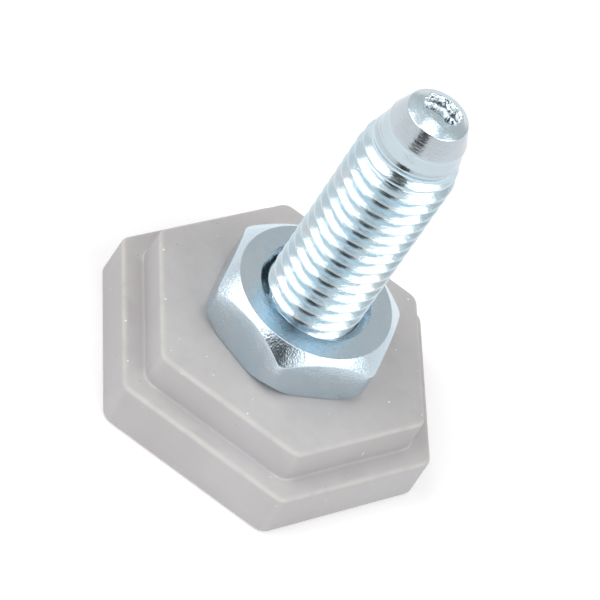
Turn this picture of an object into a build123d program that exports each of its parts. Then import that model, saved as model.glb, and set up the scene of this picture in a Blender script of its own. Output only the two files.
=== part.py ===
from build123d import *
from math import ceil, radians, sqrt, tan
import os

# A levelling foot for a washing machine, in millimetres, standing on the ground with +Z up.
# A hexagonal base is moulded round the head of a threaded stud, and a lock nut runs on the stud.
# The origin is the middle of the sole, and two opposite corners of the base lie on the X axis.

# Base: two hexagonal tiers with drafted walls, measured across the flats at the foot of each tier
lower_flats = 32.3
lower_height = 5.2
upper_flats = 27.6
upper_height = 3.8
mould_draft = 1.6  # degrees
corner_round = 1.5
sole_round = 0.6
ledge_round = 0.6
rim_round = 0.6
root_round = 0.35

# Stud: an M10 coarse thread, which measures a little under 10 over its rolled crests
thread_diameter = 9.9
thread_length = 25.75  # full thread above the base
thread_pitch = 1.5
thread_depth = 0.92
crest_width = 0.2
root_width = 0.25
runout_length = 2.25  # how far the groove goes on above the full thread, into the cone
turns_at_once = 4  # the groove is cut in runs of this many turns, which keeps its mesh light
shortest_run = 0.05  # turns
cone_length = 4.25
cone_end_diameter = 7.64
lip_diameter = 7.84
lip_height = 0.2
band_length = 2.0
band_end_diameter = 6.2
dome_height = 1.2
hollow_diameter = 3.6
hollow_depth = 0.3

# Hidden head of the stud, inside the base
head_flats = 17.0
head_height = 5.0
head_cover = 2.0  # plastic between the head and the ground

# Lock nut: its two faces, the cones that take its corners off, and its plain bore
nut_flats = 17.0
nut_height = 5.5
nut_turn = -20.2  # degrees
nut_face_diameter = 15.8
nut_face_chamfer = 41.1  # degrees
nut_foot_diameter = 17.4
nut_foot_chamfer = 48.2  # degrees
countersink_diameter = 11.5
thread_clearance = 0.05

# Heights and radii that follow from the sizes above
base_height = lower_height + upper_height
head_top = head_cover + head_height
thread_radius = thread_diameter / 2
thread_end = base_height + thread_length
cone_end = thread_end + cone_length
lip_end = cone_end + lip_height
band_end = lip_end + band_length
nut_face = base_height + nut_height
bore_radius = thread_radius + thread_clearance

# The end of the stud is a dome with a shallow hollow in its middle, where the blank was cut off
dome_radius = ((band_end_diameter / 2) ** 2 + dome_height**2) / (2 * dome_height)
dome_centre = band_end + dome_height - dome_radius
hollow_rim = dome_centre + sqrt(dome_radius**2 - (hollow_diameter / 2) ** 2)
hollow_floor = hollow_rim - hollow_depth
bar_end = band_end + dome_height

# The thread's groove: half its width at the crests and at the root, and how much a flank leans.
# Its cutter stands out over the crests by as much as keeps its turns clear of each other.
groove_top_half = (thread_pitch - crest_width) / 2
groove_root_half = root_width / 2
flank_lean = (groove_top_half - groove_root_half) / thread_depth
cutter_half = groove_top_half + 0.3 * crest_width
cutter_over = (cutter_half - groove_top_half) / flank_lean
turning_room = 2.0  # how far the waste round the point stands clear of the bar
groove_start = base_height + thread_pitch / 2
groove_end = thread_end + runout_length
groove_turns = (groove_end - groove_start) / thread_pitch
run_length = turns_at_once * thread_pitch

# The two cones of the nut's turned blank meet at this radius and height, outside its corners
face_slope = tan(radians(nut_face_chamfer))
foot_slope = tan(radians(nut_foot_chamfer))
face_reach = nut_face_diameter / 2 * face_slope
foot_reach = nut_foot_diameter / 2 * foot_slope
cone_meet_radius = (nut_height + face_reach + foot_reach) / (face_slope + foot_slope)
cone_meet_height = base_height + cone_meet_radius * foot_slope - foot_reach

# The base, moulded round the stud's head and shank, so it has a space of exactly their size
with BuildPart() as hex_base:
    with BuildSketch(Plane.XY):
        RegularPolygon(lower_flats / 2, 6, major_radius=False)
        fillet(vertices(), corner_round)
    extrude(amount=lower_height, taper=mould_draft)
    fillet(faces().sort_by(Axis.Z)[0].edges(), sole_round)
    fillet(faces().sort_by(Axis.Z)[-1].edges(), ledge_round)
    with BuildSketch(Plane.XY.offset(lower_height)):
        RegularPolygon(upper_flats / 2, 6, major_radius=False)
        fillet(vertices(), corner_round)
    extrude(amount=upper_height, taper=mould_draft)
    fillet(faces().sort_by(Axis.Z)[-1].edges(), rim_round)
    ledge = faces().filter_by(GeomType.PLANE).filter_by(Axis.Z).sort_by(Axis.Z)[1]
    fillet(ledge.inner_wires()[0].edges(), root_round)
    with BuildSketch(Plane.XY.offset(head_cover)):
        RegularPolygon(head_flats / 2, 6, major_radius=False)
    extrude(amount=head_height, mode=Mode.SUBTRACT)
    with BuildSketch(Plane.XY.offset(head_top)):
        Circle(thread_radius)
    extrude(amount=base_height - head_top, mode=Mode.SUBTRACT)

# The stud: a bar with its right-hand thread cut in, its point turned afterwards, and the hexagon
# head below. The runs of the groove follow one helix, which ends in the cone.
with BuildPart() as stud:
    with BuildSketch(Plane.XY.offset(head_top)):
        Circle(thread_radius)
    extrude(amount=bar_end - head_top)
    for turn in range(0, ceil(groove_turns - shortest_run), turns_at_once):
        start = groove_start + turn * thread_pitch
        with BuildLine():
            groove_line = Helix(
                thread_pitch, min(run_length, groove_end - start), thread_radius, center=(0, 0, start)
            )
        with BuildSketch(Plane(origin=groove_line @ 0, x_dir=(1, 0, 0), z_dir=groove_line % 0)):
            with BuildLine():
                Polyline(
                    (-thread_depth, -groove_root_half),
                    (cutter_over, -cutter_half),
                    (cutter_over, cutter_half),
                    (-thread_depth, groove_root_half),
                    close=True,
                )
            make_face()
        sweep(path=groove_line, is_frenet=True, mode=Mode.SUBTRACT)
    with BuildSketch(Plane.XZ):
        with BuildLine():
            Polyline(
                (0, hollow_floor),
                (0, bar_end + turning_room),
                (thread_radius + turning_room, bar_end + turning_room),
                (thread_radius + turning_room, thread_end),
                (thread_radius, thread_end),
                (cone_end_diameter / 2, cone_end),
                (lip_diameter / 2, lip_end),
                (band_end_diameter / 2, band_end),
            )
            RadiusArc((band_end_diameter / 2, band_end), (hollow_diameter / 2, hollow_rim), -dome_radius)
            TangentArc((0, hollow_floor), (hollow_diameter / 2, hollow_rim), tangent=(1, 0))
        make_face()
    revolve(axis=Axis.Z, mode=Mode.SUBTRACT)
    with BuildSketch(Plane.XY.offset(head_cover)):
        RegularPolygon(head_flats / 2, 6, major_radius=False)
    extrude(amount=head_height)

# The lock nut: a turned blank between two cones, cut to a hexagon, with its bore eased at both ends
with BuildPart() as lock_nut:
    with BuildSketch(Plane.XY.offset(base_height)):
        RegularPolygon(nut_flats / 2, 6, major_radius=False, rotation=nut_turn)
    extrude(amount=nut_height)
    with BuildSketch(Plane.XZ):
        with BuildLine():
            Polyline(
                (0, base_height),
                (nut_foot_diameter / 2, base_height),
                (cone_meet_radius, cone_meet_height),
                (nut_face_diameter / 2, nut_face),
                (0, nut_face),
                close=True,
            )
        make_face()
    revolve(axis=Axis.Z, mode=Mode.INTERSECT)
    with BuildSketch(Plane.XY.offset(base_height)):
        Circle(bore_radius)
    extrude(amount=nut_height, mode=Mode.SUBTRACT)
    bore = faces().filter_by(GeomType.CYLINDER).sort_by(Axis.Z)[0]
    chamfer(bore.edges().filter_by(GeomType.CIRCLE), countersink_diameter / 2 - bore_radius)

hex_base.part.label = "hex_base"
stud.part.label = "stud"
lock_nut.part.label = "lock_nut"

os.makedirs("parts", exist_ok=True)
export_step(hex_base.part, "parts/hex_base.step")
export_step(stud.part, "parts/stud.step")
export_step(lock_nut.part, "parts/lock_nut.step")
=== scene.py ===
"""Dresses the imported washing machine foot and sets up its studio.

Sizes are written in millimetres and reach Blender in metres, through MM. The frame is the one of
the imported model: the sole's middle is the origin, +Z runs up along the stud, and two corners of
the base's hexagon lie on the X axis.
"""

from __future__ import annotations

import logging
import math
from dataclasses import dataclass, field
from enum import Enum
from functools import cached_property
from typing import Any, Iterable

import bmesh
import bpy
import numpy as np
from mathutils import Matrix, Vector, noise

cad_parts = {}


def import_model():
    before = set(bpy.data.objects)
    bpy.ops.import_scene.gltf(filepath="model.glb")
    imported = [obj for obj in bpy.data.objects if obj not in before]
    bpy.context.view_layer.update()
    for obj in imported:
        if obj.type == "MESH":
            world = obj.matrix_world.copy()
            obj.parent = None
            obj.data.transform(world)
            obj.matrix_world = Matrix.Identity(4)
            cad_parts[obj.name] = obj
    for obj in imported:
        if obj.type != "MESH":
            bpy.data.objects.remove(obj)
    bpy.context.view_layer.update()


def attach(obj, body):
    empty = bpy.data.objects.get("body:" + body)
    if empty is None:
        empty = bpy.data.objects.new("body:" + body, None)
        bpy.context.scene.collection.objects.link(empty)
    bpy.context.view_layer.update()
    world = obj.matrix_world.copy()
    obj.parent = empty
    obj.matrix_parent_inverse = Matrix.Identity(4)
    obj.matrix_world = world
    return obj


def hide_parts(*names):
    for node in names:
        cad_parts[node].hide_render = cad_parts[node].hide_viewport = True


LOG = logging.getLogger("foot")
MM = 0.001
TINY = 1e-6  # millimetres
HARD_EDGE = math.radians(42)
SIXTH = math.pi / 3  # a hexagon's angle from corner to corner
SIDE_SHARE = 0.49  # how much of a side the rounding of a corner may take
LAMP_AIM = Vector((0, 0, 0.02))  # metres, the spot that lamps look at
WHITE = (1.0, 1.0, 1.0, 1.0)
BLACK = (0.0, 0.0, 0.0, 1.0)

Pair = tuple[float, float]
Triple = tuple[float, float, float]
Faces = list[tuple[int, ...]]


class Slot(Enum):
    """The record's material slots."""

    BASE = "base_plastic"
    STUD = "stud_steel"
    NUT = "nut_steel"


class Body(Enum):
    """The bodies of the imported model."""

    FOOT = "foot"
    LOCK_NUT = "lock_nut"


# Shapes shared by the pieces


def rounded_path(corners: list[Pair], radii: list[float], steps: int) -> np.ndarray:
    """Rounds the corners of an open line.

    Args:
        corners: The line's corners, first and last included, as pairs of millimetres.
        radii: The rounding of each corner; the two ends and a radius of 0 stay as they are.
        steps: Points on each rounded corner.

    Returns:
        The rounded line's points, one row each.
    """
    line = np.asarray(corners, float)
    points = [line[0]]
    for before, here, after, radius in zip(line, line[1:], line[2:], radii[1:]):
        to_before, to_after = before - here, after - here
        reach_before, reach_after = np.linalg.norm(to_before), np.linalg.norm(to_after)
        if radius <= 0 or min(reach_before, reach_after) < TINY:
            points.extend([here] * steps)
            continue
        to_before, to_after = to_before / reach_before, to_after / reach_after
        half = math.acos(float(np.clip(to_before @ to_after, -1, 1))) / 2
        reach = min(radius / math.tan(half), SIDE_SHARE * reach_before, SIDE_SHARE * reach_after)
        start, end = here + to_before * reach, here + to_after * reach
        for s in np.linspace(0, 1, steps):
            points.append(start * (1 - s) ** 2 + here * 2 * s * (1 - s) + end * s**2)
    points.append(line[-1])
    return np.array(points)


def lift(ring: np.ndarray, height: float) -> np.ndarray:
    """The flat ring's points at one height, as points in space."""
    return np.column_stack([ring, np.full(len(ring), height)])


def grid_faces(rows: int, size: int, closed: bool, start: int = 0) -> Faces:
    """The faces between neighbouring rows of points.

    Args:
        rows: How many rows there are.
        size: Points in each row.
        closed: Whether each row is a ring.
        start: The first point's number.

    Returns:
        The faces, each as the numbers of its four points.
    """
    faces = []
    for low in range(start, start + (rows - 1) * size, size):
        for c in range(size if closed else size - 1):
            d = (c + 1) % size
            faces.append((low + c, low + d, low + size + d, low + size + c))
    return faces


def place(name: str, data: bpy.types.ID) -> bpy.types.Object:
    """Links an object at the origin.

    Args:
        name: Its name.
        data: Its mesh, camera or lamp.

    Returns:
        The object.
    """
    thing = bpy.data.objects.new(name, data)
    bpy.context.scene.collection.objects.link(thing)
    return thing


@dataclass
class MeshDraft:
    """Collects rings and caps in millimetres and turns them into one closed mesh."""

    points: list[np.ndarray] = field(default_factory=list)
    faces: Faces = field(default_factory=list)
    count: int = 0

    def loft(self, rings: list[np.ndarray]) -> None:
        """Adds the skin between rings that have the same number of points.

        Args:
            rings: Closed rings of points in space, in their order along the skin.
        """
        size = len(rings[0])
        self.faces += grid_faces(len(rings), size, True, self.count)
        self.points += [np.asarray(ring, float) for ring in rings]
        self.count += size * len(rings)

    def cap(self, ring: np.ndarray) -> None:
        """Closes a ring with a fan round its middle.

        Args:
            ring: The closed ring's points in space.
        """
        size, start = len(ring), self.count
        self.points.append(np.vstack([ring, ring.mean(0)]))
        self.faces += [(start + c, start + (c + 1) % size, start + size) for c in range(size)]
        self.count += size + 1

    def build(
        self,
        name: str,
        material: bpy.types.Material,
        weld: float,
        skin: bpy.types.Mesh | None = None,
    ) -> bpy.types.Object:
        """Welds the draft, shades it smooth, keeps hard edges hard and places it at the origin.

        Args:
            name: The object's name.
            material: The object's material.
            weld: The distance in millimetres under which points become one.
            skin: A thread's skin in metres that is welded in, or None.

        Returns:
            The finished object.
        """
        mesh = bpy.data.meshes.new(name)
        mesh.from_pydata((np.vstack(self.points) * MM).tolist(), [], self.faces)
        work = bmesh.new()
        if skin is not None:
            work.from_mesh(skin)
        work.from_mesh(mesh)
        bmesh.ops.remove_doubles(work, verts=work.verts, dist=weld * MM)
        bmesh.ops.dissolve_degenerate(work, dist=weld * MM / 2, edges=work.edges)
        bmesh.ops.recalc_face_normals(work, faces=work.faces)
        for face in work.faces:
            face.smooth = True
        for edge in work.edges:
            edge.smooth = edge.calc_face_angle(0.0) < HARD_EDGE
        work.to_mesh(mesh)
        work.free()
        mesh.update()
        mesh.materials.append(material)
        return place(name, mesh)


# Node trees and finishes


class NodeWriter:
    """Short ways to add nodes to a tree."""

    def __init__(self, tree: bpy.types.NodeTree) -> None:
        """Keeps the tree that the nodes go into."""
        self.tree = tree

    def wire(self, value: Any, socket: bpy.types.NodeSocket) -> None:
        """Links a socket to another, or sets a plain value on it.

        Args:
            value: The other socket or the value.
            socket: The input that gets it.
        """
        if isinstance(value, bpy.types.NodeSocket):
            self.tree.links.new(value, socket)
        else:
            socket.default_value = value

    def fill(self, node: bpy.types.Node, **inputs: Any) -> None:
        """Fills a node's inputs, by their names with spaces written as underscores."""
        for name, value in inputs.items():
            self.wire(value, node.inputs[name.replace("_", " ")])

    def add(self, kind: str, **inputs: Any) -> bpy.types.Node:
        """Adds a node and fills its inputs.

        Args:
            kind: Blender's name of the node.
            inputs: Values or sockets by input name, with spaces written as underscores.

        Returns:
            The node.
        """
        node = self.tree.nodes.new(kind)
        self.fill(node, **inputs)
        return node

    def calc(self, what: str, *values: Any) -> Any:
        """One step of arithmetic.

        Args:
            what: Blender's name of the operation.
            values: Its values or sockets, in their order.

        Returns:
            The result's socket.
        """
        node = self.add("ShaderNodeMath")
        node.operation = what
        for value, socket in zip(values, node.inputs):
            self.wire(value, socket)
        return node.outputs[0]

    def span(self, value: Any, low: Any, high: Any, to_low: float = 0.0, to_high: float = 1.0) -> Any:
        """Carries a range of values over to another, smoothly and clamped.

        Args:
            value: The value's socket.
            low: Where the range starts.
            high: Where it ends.
            to_low: What the start becomes.
            to_high: What the end becomes.

        Returns:
            The result's socket.
        """
        node = self.add("ShaderNodeMapRange", Value=value, From_Min=low, From_Max=high)
        self.fill(node, To_Min=to_low, To_Max=to_high)
        node.interpolation_type = "SMOOTHSTEP"
        return node.outputs["Result"]


class Finish(NodeWriter):
    """A material under construction: its tree, its shader and short ways to add patterns."""

    def __init__(self, name: str) -> None:
        """Starts a material with a shader and an output.

        Args:
            name: The material's name.
        """
        self.material = bpy.data.materials.new(name)
        self.material.use_nodes = True
        super().__init__(self.material.node_tree)
        self.tree.nodes.clear()
        self.shader = self.add("ShaderNodeBsdfPrincipled")
        self.add("ShaderNodeOutputMaterial", Surface=self.shader.outputs["BSDF"])

    @cached_property
    def place(self) -> Any:
        """The socket of the object's own coordinates."""
        return self.add("ShaderNodeTexCoord").outputs["Object"]

    @cached_property
    def cylinder(self) -> tuple[Any, Any, Any, Any]:
        """The object's coordinates, and how far they lie from its Z axis.

        Returns:
            The sockets of x, y, z and the distance.
        """
        x, y, z = self.add("ShaderNodeSeparateXYZ", Vector=self.place).outputs
        square = self.calc("ADD", self.calc("MULTIPLY", x, x), self.calc("MULTIPLY", y, y))
        return x, y, z, self.calc("SQRT", square)

    def mapping(self, scale: Triple, turn: Triple) -> Any:
        """The object's coordinates, turned about each axis in radians and stretched."""
        return self.add("ShaderNodeMapping", Vector=self.place, Scale=scale, Rotation=turn).outputs[0]

    def noise(self, scale: float, detail: float = 2.0, rough: float = 0.5, at: Any = None) -> Any:
        """A noise pattern.

        Args:
            scale: Waves per metre.
            detail: Octaves.
            rough: How strong the finer octaves are.
            at: The coordinates' socket, or None for the object's own.

        Returns:
            The pattern's value socket.
        """
        at = self.place if at is None else at
        node = self.add("ShaderNodeTexNoise", Vector=at, Scale=scale, Detail=detail, Roughness=rough)
        return node.outputs["Fac"]

    def specks(self, scale: float, size: float, share: float, at: Any = None) -> Any:
        """Scattered small marks.

        Args:
            scale: Cells per metre, of which each may hold one mark.
            size: A mark's reach, as a share of its cell.
            share: How many of the cells hold a mark.
            at: The coordinates' socket, or None for the object's own.

        Returns:
            A socket that is 1 on a mark and 0 elsewhere.
        """
        at = self.place if at is None else at
        cells = self.add("ShaderNodeTexVoronoi", Vector=at, Scale=scale)
        near = self.span(cells.outputs["Distance"], size * 0.55, size, 1.0, 0.0)
        pick = self.add("ShaderNodeSeparateColor", Color=cells.outputs["Color"]).outputs[0]
        return self.calc("MULTIPLY", near, self.calc("LESS_THAN", pick, share))

    def attribute(self, name: str) -> Any:
        """Reads a mesh attribute.

        Args:
            name: The attribute's name.

        Returns:
            Its value socket.
        """
        node = self.add("ShaderNodeAttribute")
        node.attribute_name = name
        return node.outputs["Fac"]

    def mix(self, share: Any, first: Any, second: Any) -> Any:
        """Mixes two colours.

        Args:
            share: How much of the second colour there is.
            first: The first colour or its socket.
            second: The second colour or its socket.

        Returns:
            The mixed colour's socket.
        """
        node = self.add("ShaderNodeMix")
        node.data_type = "RGBA"
        self.fill(node, Factor=share)
        for value, socket in ((first, node.inputs[6]), (second, node.inputs[7])):
            self.wire(value if isinstance(value, bpy.types.NodeSocket) else (*value, 1.0), socket)
        return node.outputs[2]

    def bump(self, height: Any, depth: float, after: Any = None) -> Any:
        """Turns a height pattern into a bent normal.

        Args:
            height: The pattern's socket.
            depth: How deep the pattern is, in metres.
            after: The normal it builds on, or None for the surface's own.

        Returns:
            The normal's socket.
        """
        node = self.add("ShaderNodeBump", Strength=1.0, Distance=depth, Height=height)
        if after is not None:
            self.fill(node, Normal=after)
        return node.outputs["Normal"]


@dataclass(frozen=True)
class MouldedPlastic:
    """Matte light grey plastic: mottled, with a painted highlight along its edges, lint and pin holes."""

    colour: Triple = (0.475, 0.455, 0.46)
    pale: Triple = (0.525, 0.515, 0.525)
    grain_colour: Triple = (0.38, 0.365, 0.37)
    # painted highlight colour for the rounded edges
    edge: Triple = (0.605, 0.59, 0.565)
    lint: Triple = (0.86, 0.86, 0.85)
    pinhole: Triple = (0.16, 0.155, 0.16)
    roughness: float = 0.5
    top_face: float = 0.009  # metres
    top_margin: float = 0.0003  # metres
    ray_waves: float = 45.0  # per metre outwards
    unevenness: float = 0.00013  # metres
    grain_depth: float = 0.00001  # metres

    def gloss_and_sheen_rays(self, f: Finish) -> Any:
        """Faint streaks on the top face that run out from the stud, glossier and with painted sheen.

        Args:
            f: The material.

        Returns:
            The streaks' value socket.
        """
        x, y, z, out = f.cylinder
        spot = f.add("ShaderNodeCombineXYZ", X=f.calc("DIVIDE", x, out), Y=f.calc("DIVIDE", y, out))
        f.fill(spot, Z=f.calc("MULTIPLY", out, self.ray_waves))
        on_top = f.span(z, self.top_face - self.top_margin, self.top_face)
        return f.calc("MULTIPLY", f.noise(9.0, 3.0, 0.6, spot.outputs[0]), on_top)

    def make(self) -> bpy.types.Material:
        """Builds the material.

        Returns:
            The material.
        """
        f = Finish("moulded_plastic")
        cloud = f.noise(85.0, 3.0, 0.55)
        streaks = self.gloss_and_sheen_rays(f)
        grain = f.noise(2600.0, 3.0, 0.6)
        tone = f.mix(f.span(cloud, 0.3, 0.72), self.colour, self.pale)
        # Painted sheen: the streaks lighten the colour; their lower roughness is set further down.
        tone = f.mix(f.span(streaks, 0.42, 0.8, 0.0, 0.4), tone, self.pale)
        tone = f.mix(f.span(grain, 0.3, 0.75, 0.0, 0.1), tone, self.grain_colour)
        patchy = f.span(f.noise(700.0, 3.0, 0.6), 0.25, 0.6, 0.45, 1.0)
        # Painted highlight: paler along the rounded edges, broken up in patches.
        tone = f.mix(f.calc("MULTIPLY", f.attribute("rim"), patchy), tone, self.edge)
        lint = f.specks(620.0, 0.085, 0.45, f.mapping((1.0, 1.0, 0.35), (0.7, 0.2, 0.4)))
        fine = f.specks(900.0, 0.075, 0.35)
        holes = f.specks(640.0, 0.055, 0.24, f.mapping((1.0, 1.0, 1.0), (0.3, 0.9, 0.1)))
        tone = f.mix(f.calc("MAXIMUM", lint, fine), tone, self.lint)
        tone = f.mix(f.calc("MULTIPLY", holes, 0.75), tone, self.pinhole)
        gloss = f.span(streaks, 0.35, 0.75, self.roughness + 0.06, self.roughness - 0.08)
        bent = f.bump(grain, self.grain_depth, f.bump(f.noise(130.0), self.unevenness))
        f.fill(f.shader, Base_Color=tone, Roughness=gloss, Normal=bent)
        return f.material


@dataclass(frozen=True)
class ZincPlate:
    """Bluish, half bright zinc plate on steel, finely pitted."""

    name: str
    colour: Triple = (0.60, 0.735, 0.81)
    warm: Triple = (0.67, 0.75, 0.79)
    roughness: float = 0.18
    grit_size: float = 0.00018  # metres
    grit_depth: float = 0.000018  # metres
    scuffed: bool = False
    scuff_colour: Triple = (0.30, 0.36, 0.42)
    scuff_depth: float = 0.000012  # metres

    def tint(self, f: Finish, tone: Any) -> Any:
        """The plate's colour after local changes; the plain plate has none."""
        return tone

    def grain_place(self, f: Finish) -> Any:
        """The coordinates that the fine grain lies on; the plain plate's grain has no direction."""
        return f.place

    def make(self) -> bpy.types.Material:
        """Builds the material.

        Returns:
            The material.
        """
        f = Finish(self.name)
        patch = f.noise(260.0, 3.0, 0.6)
        tone = self.tint(f, f.mix(f.span(patch, 0.4, 0.72), self.colour, self.warm))
        cloud = f.noise(900.0, 3.0, 0.6)
        gloss = f.span(cloud, 0.3, 0.7, self.roughness - 0.03, self.roughness + 0.07)
        fine = f.noise(1 / self.grit_size, 2.0, 0.65, self.grain_place(f))
        coarse = f.noise(0.2 / self.grit_size)
        bent = f.bump(coarse, self.grit_depth, f.bump(fine, self.grit_depth))
        if self.scuffed:
            lines = f.noise(160.0, 3.0, 0.65, f.mapping((1.0, 9.0, 5.0), (0.5, 0.3, 0.9)))
            scuff = f.span(lines, 0.66, 0.74)
            tone = f.mix(f.calc("MULTIPLY", scuff, 0.35), tone, self.scuff_colour)
            bent = f.bump(f.calc("MULTIPLY", scuff, -1.0), self.scuff_depth, bent)
        f.fill(f.shader, Metallic=1.0, Base_Color=tone, Roughness=gloss, Normal=bent)
        return f.material


@dataclass(frozen=True)
class TurnedZinc(ZincPlate):
    """Zinc plate on a rolled and turned stud: grain round the axis, a greyer cone and band, painted shade in
    the torn end.
    """

    cone: Pair = (0.0370, 0.0391)  # metres
    cone_soft: float = 0.0005
    cone_colour: Triple = (0.51, 0.59, 0.64)
    band: Pair = (0.0392, 0.0413)  # metres
    band_soft: float = 0.0001
    band_colour: Triple = (0.51, 0.56, 0.605)
    # painted shade colour for the torn end's deeper folds
    torn_fold_shade: Triple = (0.14, 0.165, 0.19)
    grain_run: float = 0.001575  # metres of grain for each radian round the axis

    def between(self, f: Finish, height: Any, ends: Pair, soft: float) -> Any:
        """A share that is 1 between two heights.

        Args:
            f: The material.
            height: The height's socket.
            ends: The two heights in metres.
            soft: Half the width of each end's transition.

        Returns:
            The share's socket.
        """
        low, high = ends
        up = f.span(height, low - soft, low + soft)
        return f.calc("MULTIPLY", up, f.span(height, high - soft, high + soft, 1.0, 0.0))

    def tint(self, f: Finish, tone: Any) -> Any:
        """The plate's colour with the cone, the turned band and painted shade in the torn end's deep folds.

        Args:
            f: The material.
            tone: The plate's colour socket.

        Returns:
            The changed colour's socket.
        """
        height = f.cylinder[2]
        tone = f.mix(self.between(f, height, self.cone, self.cone_soft), tone, self.cone_colour)
        tone = f.mix(self.between(f, height, self.band, self.band_soft), tone, self.band_colour)
        # Painted shade: the torn end gets darker the deeper it lies.
        return f.mix(f.span(f.attribute("torn"), 0.18, 0.4, 0.0, 0.8), tone, self.torn_fold_shade)

    def grain_place(self, f: Finish) -> Any:
        """Coordinates that run round the axis, for grain that lies along the turn.

        Args:
            f: The material.

        Returns:
            The coordinates' socket.
        """
        x, y, z, out = f.cylinder
        around = f.calc("MULTIPLY", f.calc("ARCTAN2", y, x), self.grain_run)
        return f.add("ShaderNodeCombineXYZ", X=around, Y=z, Z=out).outputs[0]


# Base


@dataclass
class HexBase:
    """The moulded base: two hexagonal tiers with drafted walls and rounded edges."""

    lower_flats: float = 32.3
    lower_height: float = 5.2
    upper_flats: float = 27.6
    upper_height: float = 3.8
    draft: float = math.radians(1.6)
    corner_round: float = 1.53
    corner_least: float = 0.35
    edge_round: float = 0.6
    root_round: float = 0.35
    shank_radius: float = 4.95
    head_flats: float = 17.0
    head_corner: float = 0.2
    head_top: float = 7.0
    head_bottom: float = 2.0
    per_corner: int = 9  # points on each corner's arc
    per_side: int = 15  # points between two arcs
    per_edge: int = 9
    top_rings: int = 11
    inner_strip: float = 3.0  # how far the wall's section goes on along the sole and the top face
    weld: float = 0.002

    def ring(self, apothem: float, corner: float) -> np.ndarray:
        """Points round a hexagon with rounded corners, counter-clockwise, first corner on +X.

        Args:
            apothem: Half the size across the flats, in millimetres.
            corner: The corners' rounding in millimetres.

        Returns:
            The ring's points in the plane, one row each.
        """
        reach = (apothem - corner) / math.cos(SIXTH / 2)
        arcs = []
        for k in range(6):
            middle = k * SIXTH
            turn = np.linspace(middle - SIXTH / 2, middle + SIXTH / 2, self.per_corner)
            centre = reach * np.array([math.cos(middle), math.sin(middle)])
            arcs.append(centre + corner * np.column_stack([np.cos(turn), np.sin(turn)]))
        share = np.linspace(0, 1, self.per_side + 2)[1:-1, None]
        points = []
        for arc, following in zip(arcs, arcs[1:] + arcs[:1]):
            points += [arc, arc[-1] * (1 - share) + following[0] * share]
        return np.vstack(points)

    def wall(self) -> np.ndarray:
        """The outside's section over the flats, from the sole to the rim.

        Returns:
            The section's points as apothem and height.
        """
        low, up = self.lower_flats / 2, self.upper_flats / 2
        up_top = up - self.upper_height * math.tan(self.draft)
        top = self.lower_height + self.upper_height
        corners = [
            (low - self.inner_strip, 0.0),
            (low, 0.0),
            (low - self.lower_height * math.tan(self.draft), self.lower_height),
            (up, self.lower_height),
            (up_top, top),
            (up_top - self.inner_strip, top),
        ]
        radii = [0.0, self.edge_round, self.edge_round, self.root_round, self.edge_round, 0.0]
        return rounded_path(corners, radii, self.per_edge)

    def corner_at(self, apothem: float, height: float) -> float:
        """How round the hexagon's corners are at one point of the wall's section.

        Args:
            apothem: The point's distance from the axis over the flats, in millimetres.
            height: Its height.

        Returns:
            The rounding in millimetres.
        """
        low, up = self.lower_flats / 2, self.upper_flats / 2
        if height < self.lower_height - TINY:
            inset = low - apothem
        elif height > self.lower_height + TINY:
            inset = up - apothem
        else:
            ledge = low - up - self.edge_round - self.root_round
            share = min(max((low - self.edge_round - apothem) / ledge, 0.0), 1.0)
            inset = self.edge_round * (1 - share) - self.root_round * share
        return min(max(self.corner_round - inset, self.corner_least), self.corner_round + self.root_round)

    def build(self, material: bpy.types.Material) -> bpy.types.Object:
        """Builds the base as one closed mesh round the stud's head.

        Args:
            material: The base's material.

        Returns:
            The base's object.
        """
        rings = [lift(self.ring(a, self.corner_at(a, height)), height) for a, height in self.wall()]
        top = self.lower_height + self.upper_height
        rim = rings[-1][:, :2]
        angle = np.arctan2(rim[:, 1], rim[:, 0])
        hole = self.shank_radius * np.column_stack([np.cos(angle), np.sin(angle)])
        for share in np.linspace(0, 1, self.top_rings + 1)[1:]:
            rings.append(lift(rim * (1 - share) + hole * share, top))
        seat = self.ring(self.head_flats / 2, self.head_corner)
        rings += [lift(hole, self.head_top), lift(seat, self.head_top), lift(seat, self.head_bottom)]
        draft = MeshDraft()
        draft.loft(rings)
        draft.cap(rings[-1])
        draft.cap(rings[0])
        base = draft.build("moulded_base", material, self.weld)
        self.mark_painted_edge_highlight(base.data)
        return base

    def mark_painted_edge_highlight(self, mesh: bpy.types.Mesh) -> None:
        """Writes how far each point lies on an outer edge's round, for the painted edge highlight.

        Args:
            mesh: The base's mesh, which gets the attribute rim.
        """
        edge_lean, edge_spread = 0.66, 0.42  # the normal's z in an edge's middle, and to its ends
        # Painted highlight: upright corners get a share of it too, and the ledge round the upper tier's foot
        # gets none.
        corner_spread, corner_highlight_share = 22, 0.2  # degrees, and how pale an upright corner gets
        root_reach, root_height = 1.7, 0.5  # how far round the upper tier's foot stays plain
        root_radius = (self.upper_flats / 2 + root_reach) * MM
        rim = mesh.attributes.new("rim", "FLOAT", "POINT")
        for vertex, value in zip(mesh.vertices, rim.data):
            normal, spot = vertex.normal, vertex.co
            lean = abs(normal.z)
            over_edge = max(0.0, 1 - ((lean - edge_lean) / edge_spread) ** 2)
            off = (math.degrees(math.atan2(normal.y, normal.x)) + 30) % 60 - 30
            upright = max(0.0, 1 - abs(off) / corner_spread) * (1 - lean)
            on_ledge = abs(spot.z - self.lower_height * MM) < root_height * MM
            in_root = on_ledge and spot.xy.length < root_radius
            value.value = 0.0 if in_root else max(over_edge, corner_highlight_share * upright)

    def dress(self, base: bpy.types.Object) -> None:
        """Gives the base its place in the frame.

        Args:
            base: The base's object.
        """
        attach(base, Body.FOOT.value)
        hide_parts("hex_base")


# Threads


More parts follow.
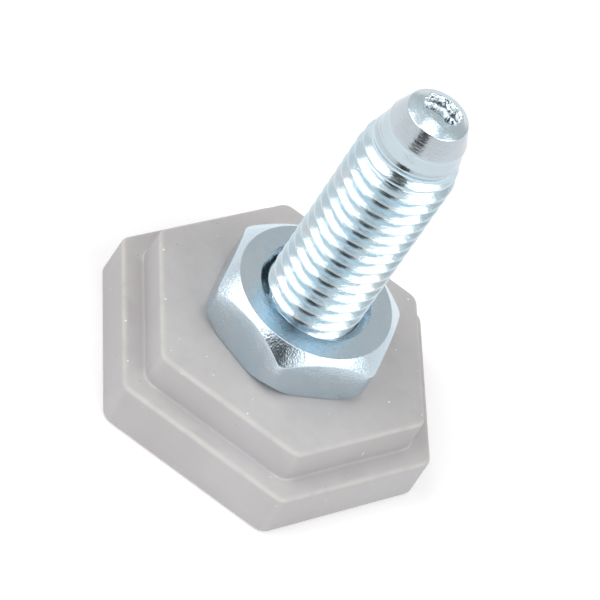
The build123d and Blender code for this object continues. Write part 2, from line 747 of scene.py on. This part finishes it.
@dataclass
class HelicalThread:
    """A thread's skin, made by a Geometry Nodes tree whose rows follow the helix.

    The skin starts as a flat grid. Its columns become directions round the axis and its rows turns of
    the helix, cut off level at both ends, so the skin closes to a tube with two flat rings for rims.
    """

    root: float = 4.03
    pitch: float = 1.5
    crest_height: float = 34.5
    bottom: float = 9.15
    top: float = 38.3
    blank: float = 4.95
    cone_start: float = 34.75
    cone_slope: float = 0.2659
    fade_in: float = 0.9
    fade_out: float = 0.9
    clearance: float = 0.0
    crowding: float = 0.0
    turn: float = 0.0
    columns: int = 132
    rows_per_turn: int = 20
    turns_below: float = 1.6
    turns_beyond: float = 2.6
    shape: tuple[Pair, ...] = (
        (0.0, 1.0),
        (0.06, 0.985),
        (0.11, 0.94),
        (0.15, 0.89),
        (0.25, 0.762),
        (0.5, 0.435),
        (0.7, 0.168),
        (0.79, 0.062),
        (0.88, 0.012),
        (1.0, 0.0),
    )

    def numbers(self) -> dict[str, float]:
        """The tree's decimal inputs for this thread.

        Returns:
            The values by input name, lengths in metres.
        """
        return {
            "Root Radius": self.root * MM,
            "Pitch": self.pitch * MM,
            "Crest Height": self.crest_height * MM,
            "Bottom": self.bottom * MM,
            "Top": self.top * MM,
            "Blank Radius": self.blank * MM,
            "Cone Start": self.cone_start * MM,
            "Cone Slope": self.cone_slope,
            "Fade In": self.fade_in * MM,
            "Fade Out": self.fade_out * MM,
            "Clearance": self.clearance * MM,
            "Crowding": self.crowding,
            "Turn": self.turn,
            "Rows Per Turn": float(self.rows_per_turn),
        }

    def tree(self) -> bpy.types.NodeTree:
        """Builds the Geometry Nodes tree.

        Returns:
            The tree.
        """
        tree = bpy.data.node_groups.new("helical_thread", "GeometryNodeTree")
        kinds = {name: "NodeSocketFloat" for name in self.numbers()}
        kinds |= {"Columns": "NodeSocketInt", "Rows": "NodeSocketInt", "Material": "NodeSocketMaterial"}
        for name, kind in kinds.items():
            tree.interface.new_socket(name=name, in_out="INPUT", socket_type=kind)
        tree.interface.new_socket(name="Geometry", in_out="OUTPUT", socket_type="NodeSocketGeometry")
        s = NodeWriter(tree)
        given = s.add("NodeGroupInput").outputs
        pitch, bottom, top = given["Pitch"], given["Bottom"], given["Top"]

        grid = s.add("GeometryNodeMeshGrid", Size_X=1.0, Size_Y=1.0)
        s.fill(grid, Vertices_X=s.calc("ADD", given["Columns"], 1))
        s.fill(grid, Vertices_Y=s.calc("ADD", given["Rows"], 1))
        flat = s.add("ShaderNodeSeparateXYZ", Vector=s.add("GeometryNodeInputPosition").outputs[0])
        around = s.calc("ADD", flat.outputs["X"], 0.5)
        along = s.calc("MULTIPLY", s.calc("ADD", flat.outputs["Y"], 0.5), given["Rows"])

        # The columns stand closer together at six places round the axis if Crowding says so.
        plain = s.calc("MULTIPLY", around, math.tau)
        pull = s.calc("MULTIPLY", s.calc("SINE", s.calc("MULTIPLY", plain, 6.0)), given["Crowding"])
        angle = s.calc("ADD", s.calc("SUBTRACT", plain, s.calc("DIVIDE", pull, 6.0)), given["Turn"])

        turns = s.calc("DIVIDE", along, given["Rows Per Turn"])
        climb = s.calc("DIVIDE", angle, math.tau)
        raised = s.calc("MULTIPLY", s.calc("ADD", turns, climb), pitch)
        first_row = s.calc("SUBTRACT", bottom, s.calc("MULTIPLY", pitch, self.turns_below))
        height = s.calc("MINIMUM", s.calc("ADD", raised, first_row), top)
        height = s.calc("MAXIMUM", height, bottom)

        # How far this point is from the crest, in halves of a pitch, gives the height of the profile.
        crest = s.calc("ADD", s.calc("MULTIPLY", climb, pitch), given["Crest Height"])
        phase = s.calc("DIVIDE", s.calc("SUBTRACT", height, crest), pitch)
        phase = s.calc("SUBTRACT", s.calc("FRACT", s.calc("ADD", phase, 0.5)), 0.5)
        off_crest = s.calc("MULTIPLY", s.calc("ABSOLUTE", phase), 2.0)
        profile = s.add("ShaderNodeFloatCurve", Value=off_crest)
        line = profile.mapping.curves[0]
        line.points[0].location = self.shape[0]
        line.points[1].location = self.shape[-1]
        for spot in self.shape[1:-1]:
            line.points.new(*spot)
        profile.mapping.update()

        # The blank is a cylinder with a cone above Cone Start, on which the ridges get lower. The
        # thread cuts into it and fades out.
        over = s.calc("MAXIMUM", s.calc("SUBTRACT", height, given["Cone Start"]), 0.0)
        blank = s.calc("SUBTRACT", given["Blank Radius"], s.calc("MULTIPLY", over, given["Cone Slope"]))
        depth = s.calc("MAXIMUM", s.calc("SUBTRACT", blank, given["Root Radius"]), 0.0)
        thread = s.calc("MULTIPLY_ADD", profile.outputs["Value"], depth, given["Root Radius"])
        thread = s.calc("ADD", thread, given["Clearance"])
        cut = s.calc("MAXIMUM", s.calc("SUBTRACT", blank, thread), 0.0)
        start = s.span(height, bottom, s.calc("ADD", bottom, given["Fade In"]))
        end = s.span(height, top, s.calc("SUBTRACT", top, given["Fade Out"]))
        cut = s.calc("MULTIPLY", cut, s.calc("MULTIPLY", start, end))
        radius = s.calc("SUBTRACT", blank, cut)

        spot = s.add("ShaderNodeCombineXYZ", Z=height)
        s.fill(spot, X=s.calc("MULTIPLY", radius, s.calc("COSINE", angle)))
        s.fill(spot, Y=s.calc("MULTIPLY", radius, s.calc("SINE", angle)))
        skin = s.add("GeometryNodeSetPosition", Geometry=grid.outputs["Mesh"], Position=spot.outputs[0])
        skin = s.add("GeometryNodeMergeByDistance", Geometry=skin.outputs[0], Distance=0.5e-6)
        skin = s.add("GeometryNodeSetShadeSmooth", Geometry=skin.outputs[0])
        skin = s.add("GeometryNodeRealizeInstances", Geometry=skin.outputs[0])
        skin = s.add("GeometryNodeSetMaterial", Geometry=skin.outputs[0], Material=given["Material"])
        s.add("NodeGroupOutput", Geometry=skin.outputs[0])
        return tree

    def skin(self, material: bpy.types.Material) -> bpy.types.Mesh:
        """Runs the tree and keeps its result.

        Args:
            material: The material that the tree sets.

        Returns:
            The skin as a plain mesh in metres, open at both rims.
        """
        carrier = place("thread_carrier", bpy.data.meshes.new("thread_carrier"))
        modifier = carrier.modifiers.new("helical_thread", "NODES")
        modifier.node_group = self.tree()
        turns = (self.top - self.bottom) / self.pitch + self.turns_beyond
        wanted: dict[str, Any] = dict(self.numbers())
        wanted["Columns"] = self.columns
        wanted["Rows"] = math.ceil(turns * self.rows_per_turn)
        wanted["Material"] = material
        for item in modifier.node_group.interface.items_tree:
            if item.item_type == "SOCKET" and item.in_out == "INPUT":
                modifier[item.identifier] = wanted[item.name]
        graph = bpy.context.evaluated_depsgraph_get()
        mesh = bpy.data.meshes.new_from_object(carrier.evaluated_get(graph))
        bpy.data.objects.remove(carrier)
        return mesh

    def angles(self) -> np.ndarray:
        """The columns' directions, as the tree places them, for rings that join the skin."""
        plain = np.arange(self.columns) / self.columns * math.tau
        return plain - self.crowding * np.sin(6 * plain) / 6 + self.turn

    def ring(self, radius: Any, height: Any) -> np.ndarray:
        """A ring of points at the columns' directions, in millimetres."""
        angle = self.angles()
        return np.column_stack([radius * np.cos(angle), radius * np.sin(angle), height + 0 * angle])


# Stud


@dataclass
class ThreadedStud:
    """The rolled stud: its hidden head, its thread, and its turned-down point with a torn end."""

    head_flats: float = 17.0
    head_bottom: float = 2.0
    head_top: float = 7.0
    shank_middle: float = 8.1
    cone_end: Pair = (3.82, 39.0)  # radius and height, as the rest of the point's section
    lip: Pair = (3.92, 39.2)
    band_end: Pair = (3.06, 41.30)
    shoulder: Pair = (2.4, 41.57)
    crown: Pair = (1.6, 41.84)
    inner_crown: Pair = (0.7, 42.0)
    top: float = 42.02
    point_radii: tuple[float, ...] = (0, 0.1, 0.16, 0.22, 3.0, 3.0, 3.0, 0)
    per_corner: int = 9
    torn_reach: float = 2.45
    torn_rings: int = 51
    hollow_radius: float = 2.05
    hollow_centre: Pair = (0.05, 0.45)
    hollow_rim: float = 0.35
    hollow_wander: float = 0.4
    fold_bend: float = 0.2
    fold_wander: float = 0.3
    grain_depth: float = 0.05
    weld: float = 0.0012
    folds: tuple[Pair, ...] = (
        (-1.25, 0.0),
        (-1.15, 0.12),
        (-0.55, 0.16),
        (-0.05, 0.5),
        (0.4, 0.14),
        (0.85, 0.46),
        (1.15, 0.1),
        (1.45, 0.36),
        (1.65, 0.08),
        (1.9, 0.3),
        (2.2, 0.0),
    )
    thread: HelicalThread = field(default_factory=HelicalThread)

    def point_section(self) -> np.ndarray:
        """The point's section from the thread's end to the middle of the top.

        Returns:
            The section's points as radius and height.
        """
        t = self.thread
        start = (t.blank - (t.top - t.cone_start) * t.cone_slope, t.top)
        turned = [self.cone_end, self.lip, self.band_end, self.shoulder, self.crown, self.inner_crown]
        return rounded_path([start, *turned, (0.0, self.top)], list(self.point_radii), self.per_corner)

    def torn(self, x: float, y: float) -> float:
        """How deep the blank's torn end lies under the dome at a place.

        The torn metal lies in folds, one bright slope and a few steps behind it, bent to a wide V.

        Args:
            x: The place's x in millimetres.
            y: Its y.

        Returns:
            The depth in millimetres, never less than 0.
        """
        off_x, off_y = x - self.hollow_centre[0], y - self.hollow_centre[1]
        edge = noise.noise(Vector((off_x * 0.9, off_y * 0.9, 3.1)))
        edge = self.hollow_radius + self.hollow_wander * edge
        share = min(max((edge - math.hypot(off_x, off_y)) / self.hollow_rim, 0.0), 1.0)
        share = share * share * (3 - 2 * share)
        ragged = noise.noise(Vector((x * 1.1, y * 1.1, 1.3)))
        ragged += 0.3 * noise.noise(Vector((x * 4.0, y * 4.0, 7.7)))
        across = y + self.fold_bend * abs(x) + self.fold_wander * ragged
        depth = float(np.interp(across, *zip(*self.folds)))
        grain = self.grain_depth * noise.noise(Vector((x * 5, y * 5, 4.3)))
        return share * max(depth + grain, 0.0)

    def build(self, material: bpy.types.Material) -> bpy.types.Object:
        """Builds the stud as one closed mesh.

        Args:
            material: The stud's material.

        Returns:
            The stud's object.
        """
        t = self.thread
        draft = MeshDraft()
        hexagon = self.head_flats / 2 / np.cos((t.angles() % SIXTH) - SIXTH / 2)
        head = [t.ring(hexagon, height) for height in (self.head_bottom, self.head_top)]
        shank = [t.ring(t.blank, height) for height in (self.head_top, self.shank_middle, t.bottom)]
        draft.loft(head + shank)
        draft.cap(head[0])
        section = self.point_section()
        outside = section[section[:, 0] > self.torn_reach]
        inside = section[section[:, 0] < self.torn_reach][::-1]
        rings = [t.ring(radius, height) for radius, height in outside]
        for radius in np.linspace(self.torn_reach - 0.01, 0.0, self.torn_rings + 1)[:-1]:
            ring = t.ring(radius, float(np.interp(radius, inside[:, 0], inside[:, 1])))
            ring[:, 2] -= [self.torn(x, y) for x, y, _ in ring]
            rings.append(ring)
        draft.loft(rings)
        draft.cap(rings[-1])
        stud = draft.build("threaded_stud", material, self.weld, t.skin(material))
        self.mark_torn(stud.data)
        return stud

    def mark_torn(self, mesh: bpy.types.Mesh) -> None:
        """Writes how deep each point of the torn end lies, in millimetres, for its painted shade.

        Args:
            mesh: The stud's mesh, which gets the attribute torn.
        """
        torn = mesh.attributes.new("torn", "FLOAT", "POINT")
        for vertex, value in zip(mesh.vertices, torn.data):
            x, y, z = vertex.co / MM
            value.value = self.torn(x, y) if z > self.band_end[1] else 0.0

    def dress(self, stud: bpy.types.Object) -> None:
        """Gives the stud its place in the frame.

        Args:
            stud: The stud's object.
        """
        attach(stud, Body.FOOT.value)
        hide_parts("stud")


# Lock nut


@dataclass
class LockNut:
    """The hexagon nut: chamfered corners, countersunk threaded bore."""

    flats: float = 17.0
    height: float = 5.5
    bottom: float = 9.0
    turn: float = math.radians(-20.2)
    corner_round: float = 1.2
    face_radius: float = 7.9
    face_chamfer: float = math.radians(41.1)
    foot_radius: float = 8.7
    foot_chamfer: float = math.radians(48.2)
    foot_ease: float = 0.12
    countersink_radius: float = 5.75
    bore_radius: float = 5.0
    section_radii: tuple[float, ...] = (0, 0.08, 0.2, 0.16, 0.14, 0.1, 0.08, 0)
    per_corner: int = 5
    weld: float = 0.001
    thread: HelicalThread = field(
        default_factory=lambda: HelicalThread(
            bottom=9.75,
            top=13.75,
            blank=5.0,
            cone_start=100.0,
            fade_in=0.35,
            fade_out=0.35,
            clearance=0.05,
            crowding=0.72,
            turn=math.radians(-20.2),
            columns=216,
            rows_per_turn=14,
        )
    )

    def outline(self) -> np.ndarray:
        """The hexagon with its corners rounded.

        Returns:
            Its radius in each column's direction.
        """
        apothem, corner = self.flats / 2, self.corner_round
        reach = (apothem - corner) / math.cos(SIXTH / 2)
        off = (self.thread.angles() - self.turn + SIXTH / 2) % SIXTH - SIXTH / 2
        flat = apothem / np.cos(np.abs(off) - SIXTH / 2)
        arc = reach * np.cos(off) + np.sqrt(np.maximum(corner**2 - (reach * np.sin(off)) ** 2, 0))
        touch = math.atan2(corner / 2, reach + corner * math.cos(SIXTH / 2))
        return np.where(np.abs(off) < touch, arc, flat)

    def section(self, reach: float) -> np.ndarray:
        """The nut's section in one direction, from the bore's top rim round to its bottom rim.

        Args:
            reach: The hexagon's radius in that direction.

        Returns:
            The section's points as radius and height.
        """
        top = self.bottom + self.height
        face_drop = (reach - self.face_radius) * math.tan(self.face_chamfer)
        foot_rise = max((reach - self.foot_radius) * math.tan(self.foot_chamfer), self.foot_ease)
        corners = [
            (self.bore_radius, self.thread.top),
            (self.countersink_radius, top),
            (self.face_radius, top),
            (reach, top - face_drop),
            (reach, self.bottom + foot_rise),
            (min(self.foot_radius, reach - self.foot_ease), self.bottom),
            (self.countersink_radius, self.bottom),
            (self.bore_radius, self.thread.bottom),
        ]
        return rounded_path(corners, list(self.section_radii), self.per_corner)

    def build(self, material: bpy.types.Material) -> bpy.types.Object:
        """Builds the nut as one closed mesh with its thread.

        Args:
            material: The nut's material.

        Returns:
            The nut's object.
        """
        sections = np.array([self.section(reach) for reach in self.outline()])
        draft = MeshDraft()
        draft.loft([self.thread.ring(radius, height) for radius, height in sections.transpose(1, 2, 0)])
        return draft.build("hexagon_nut", material, self.weld, self.thread.skin(material))

    def dress(self, nut: bpy.types.Object) -> None:
        """Gives the nut its place in the frame.

        Args:
            nut: The nut's object.
        """
        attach(nut, Body.LOCK_NUT.value)
        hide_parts("lock_nut")


# Studio


@dataclass
class StudioCamera:
    """The photograph's camera, fitted to the foot's outlines."""

    azimuth: float = math.radians(-2.46)
    elevation: float = math.radians(43.79)
    roll: float = math.radians(34.45)
    offset: Triple = (-4.35, 7.85, 402.5)
    focal_pixels: float = 4140.3
    frame_pixels: float = 600.0
    sensor: float = 36.0
    clip: Pair = (0.01, 50.0)  # metres

    def axes(self) -> np.ndarray:
        """The camera's own directions.

        Returns:
            Right, down and forward, one row each.
        """
        a, e = self.azimuth, self.elevation
        forward = np.array([math.cos(e) * math.sin(a), math.cos(e) * math.cos(a), -math.sin(e)])
        right = np.array([math.cos(a), -math.sin(a), 0.0])
        down = np.cross(forward, right)
        c, s = math.cos(self.roll), math.sin(self.roll)
        return np.array([[c, -s, 0], [s, c, 0], [0, 0, 1]]) @ np.stack([right, down, forward])

    def build(self) -> None:
        """Builds the camera and makes it the scene's own."""
        right, down, forward = self.axes()
        eye = -self.axes().T @ np.array(self.offset)
        data = bpy.data.cameras.new("studio_camera")
        data.sensor_width = self.sensor
        data.lens = self.focal_pixels / self.frame_pixels * self.sensor
        data.clip_start, data.clip_end = self.clip
        camera = place("studio_camera", data)
        turn = Matrix([list(v) for v in zip(right, -down, -forward)]).to_4x4()
        camera.matrix_world = Matrix.Translation(Vector(eye * MM)) @ turn
        bpy.context.scene.camera = camera


def direction(azimuth: float, elevation: float) -> Vector:
    """The direction at an azimuth from +X and an elevation, both in degrees."""
    a, e = math.radians(azimuth), math.radians(elevation)
    return Vector((math.cos(a) * math.cos(e), math.sin(a) * math.cos(e), math.sin(e)))


@dataclass(frozen=True)
class Softbox:
    """A rectangular soft lamp, placed by its direction from the foot."""

    name: str
    azimuth: float  # degrees, from the camera's side, counter-clockwise seen from above
    elevation: float  # degrees
    width: float  # degrees across, as seen from the foot
    height: float  # degrees
    radiance: float
    distance: float = 0.9  # metres
    in_reflections: bool = True

    def build(self, facing: float) -> None:
        """Builds the lamp, which looks at the foot.

        Args:
            facing: The camera's azimuth round the foot, in degrees.
        """
        data = bpy.data.lights.new(self.name, "AREA")
        data.shape = "RECTANGLE"
        data.size = 2 * self.distance * math.tan(math.radians(self.width / 2))
        data.size_y = 2 * self.distance * math.tan(math.radians(self.height / 2))
        data.energy = self.radiance * math.pi * data.size * data.size_y
        lamp = place(self.name, data)
        lamp.visible_glossy = self.in_reflections
        away = direction(facing + self.azimuth, self.elevation)
        turn = away.to_track_quat("Z", "Y").to_matrix().to_4x4()
        lamp.matrix_world = Matrix.Translation(away * self.distance + LAMP_AIM) @ turn


def stage_sheet(finish: Finish, name: str, points: Iterable[Any], faces: Faces) -> bpy.types.Object:
    """Builds a sheet with its finish and links it to the scene.

    Args:
        finish: Its finish.
        name: Its name.
        points: Its corners in metres.
        faces: Its faces.

    Returns:
        The sheet's object.
    """
    mesh = bpy.data.meshes.new(name)
    mesh.from_pydata([tuple(p) for p in points], [], faces)
    mesh.materials.append(finish.material)
    sheet = place(name, mesh)
    return sheet


def glow_card(name: str, tone: float, points: list[Vector], faces: Faces) -> None:
    """Builds a sheet that only reflections see, as even in tone as studio board.

    Args:
        name: Its name.
        tone: Its brightness, 1 for white.
        points: Its corners in metres.
        faces: Its faces.
    """
    f = Finish(name)
    f.fill(f.shader, Base_Color=BLACK, Specular_IOR_Level=0.0)
    f.fill(f.shader, Emission_Color=(tone, tone, tone, 1.0), Emission_Strength=1.0)
    f.material.cycles.emission_sampling = "NONE"
    card = stage_sheet(f, name, points, faces)
    card.visible_camera = card.visible_diffuse = card.visible_shadow = False


@dataclass
class Studio:
    """Floor, surroundings, lamps, the dark gap behind the camera and the grey canopy overhead.

    Azimuths count from the camera's side and elevations from the floor, in degrees.
    """

    facing: float = -87.7
    room: float = 0.42
    floor_size: float = 6.0
    floor_colour: float = 0.93
    floor_glow: float = 0.2
    gap: Pair = (-0.24, 0.30)
    gap_ends: Pair = (-1.5, 64.0)
    gap_reach: float = 0.8
    gap_tone: float = 0.06
    canopy_ends: Pair = (22.0, 88.0)
    canopy_reach: float = 1.6
    canopy_tone: float = 0.77
    card_sides: Pair = (118.0, 214.0)
    card_ends: Pair = (20.0, 70.0)
    card_reach: float = 1.3
    card_tone: float = 0.60
    lamps: tuple[Softbox, ...] = (
        Softbox("left_softbox", -72, 52, 48, 33, 2.4),
        Softbox("right_softbox", 76, 48, 46, 34, 2.1),
        Softbox("overhead_softbox", 172, 85, 18, 15, 3.0),
        Softbox("front_fill", -10, 16, 60, 28, 1.45, in_reflections=False),
    )

    def paper(self, writer: NodeWriter) -> Any:
        """Finds out whether a ray shows the background.

        Args:
            writer: The writer of the tree that the nodes go into.

        Returns:
            A socket that is 1 for a camera, glossy or transmission ray.
        """
        path = writer.add("ShaderNodeLightPath").outputs
        seen = writer.calc("MAXIMUM", path["Is Camera Ray"], path["Is Glossy Ray"])
        return writer.calc("MAXIMUM", seen, path["Is Transmission Ray"])

    def world(self) -> None:
        """Makes the surroundings: white to the camera and in reflections, even light elsewhere."""
        world = bpy.data.worlds.new("surroundings")
        world.use_nodes = True
        writer = NodeWriter(world.node_tree)
        level = writer.span(self.paper(writer), 0.0, 1.0, self.room, 1.0)
        writer.fill(world.node_tree.nodes["Background"], Color=WHITE, Strength=level)
        bpy.context.scene.world = world

    def floor(self) -> None:
        """Builds the pale floor, which stays white on the picture but for the foot's shadow."""
        f = Finish("floor_paper")
        glow = f.calc("MULTIPLY", self.paper(f), self.floor_glow)
        f.fill(f.shader, Base_Color=(self.floor_colour,) * 3 + (1.0,), Roughness=1.0)
        f.fill(f.shader, Specular_IOR_Level=0.0, Emission_Color=WHITE, Emission_Strength=glow)
        half = self.floor_size / 2
        spots = [(-half, -half, 0), (half, -half, 0), (half, half, 0), (-half, half, 0)]
        stage_sheet(f, "floor", spots, [(0, 1, 2, 3)])

    def patch(self, azimuths: Iterable[float], elevations: Iterable[float], reach: float) -> list[Vector]:
        """Points on a sphere round the foot, row by row, each row at one elevation."""
        return [direction(self.facing + a, e) * reach for e in elevations for a in azimuths]

    def dark_gap(self) -> None:
        """Builds the dark strip between the softboxes, an arch over the camera."""
        rows = 24
        side = direction(self.facing + 90, 0) * self.gap_reach
        arch = self.patch([0.0], np.linspace(*self.gap_ends, rows), self.gap_reach)
        points = [spot + LAMP_AIM + side * edge for spot in arch for edge in self.gap]
        glow_card("dark_gap", self.gap_tone, points, grid_faces(rows, 2, False))

    def canopy(self) -> None:
        """Builds the grey canopy that the metal sees above its horizon."""
        rows, around = 14, 48
        azimuths = np.arange(around) * 360 / around
        points = self.patch(azimuths, np.linspace(*self.canopy_ends, rows), self.canopy_reach)
        lid = tuple(range((rows - 1) * around, rows * around))
        glow_card("grey_canopy", self.canopy_tone, points, grid_faces(rows, around, True) + [lid])

    def back_card(self) -> None:
        """Builds the darker card behind the foot, which the nut's top face shows."""
        rows, across = 10, 13
        azimuths = np.linspace(*self.card_sides, across)
        points = self.patch(azimuths, np.linspace(*self.card_ends, rows), self.card_reach)
        glow_card("back_card", self.card_tone, points, grid_faces(rows, across, False))

    def build(self) -> None:
        """Builds the whole studio and sets how colours are shown."""
        bpy.context.scene.view_settings.view_transform = "Standard"
        self.world()
        self.floor()
        self.dark_gap()
        self.canopy()
        self.back_card()
        for lamp in self.lamps:
            lamp.build(self.facing)


def corners(box: tuple[Vector, Vector]) -> list[list[float]]:
    """A box's two corners as plain lists."""
    return [[float(v) for v in corner] for corner in box]


def main() -> None:
    """Builds the studio and the foot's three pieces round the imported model."""
    logging.basicConfig(level=logging.INFO, format="%(name)s: %(message)s")
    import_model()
    StudioCamera().build()
    Studio().build()
    LOG.info("studio ready")

    nut_zinc = ZincPlate(
        "nut_zinc",
        (0.59, 0.70, 0.78),
        (0.64, 0.72, 0.77),
        roughness=0.21,
        grit_size=0.0002,
        grit_depth=0.000028,
        scuffed=True,
    )
    plans = ((HexBase(), MouldedPlastic()), (ThreadedStud(), TurnedZinc("stud_zinc")), (LockNut(), nut_zinc))
    for plan, finish in plans:
        piece = plan.build(finish.make())
        plan.dress(piece)
        LOG.info("%s: %d faces", piece.name, len(piece.data.polygons))


if __name__ == "__main__":
    main()
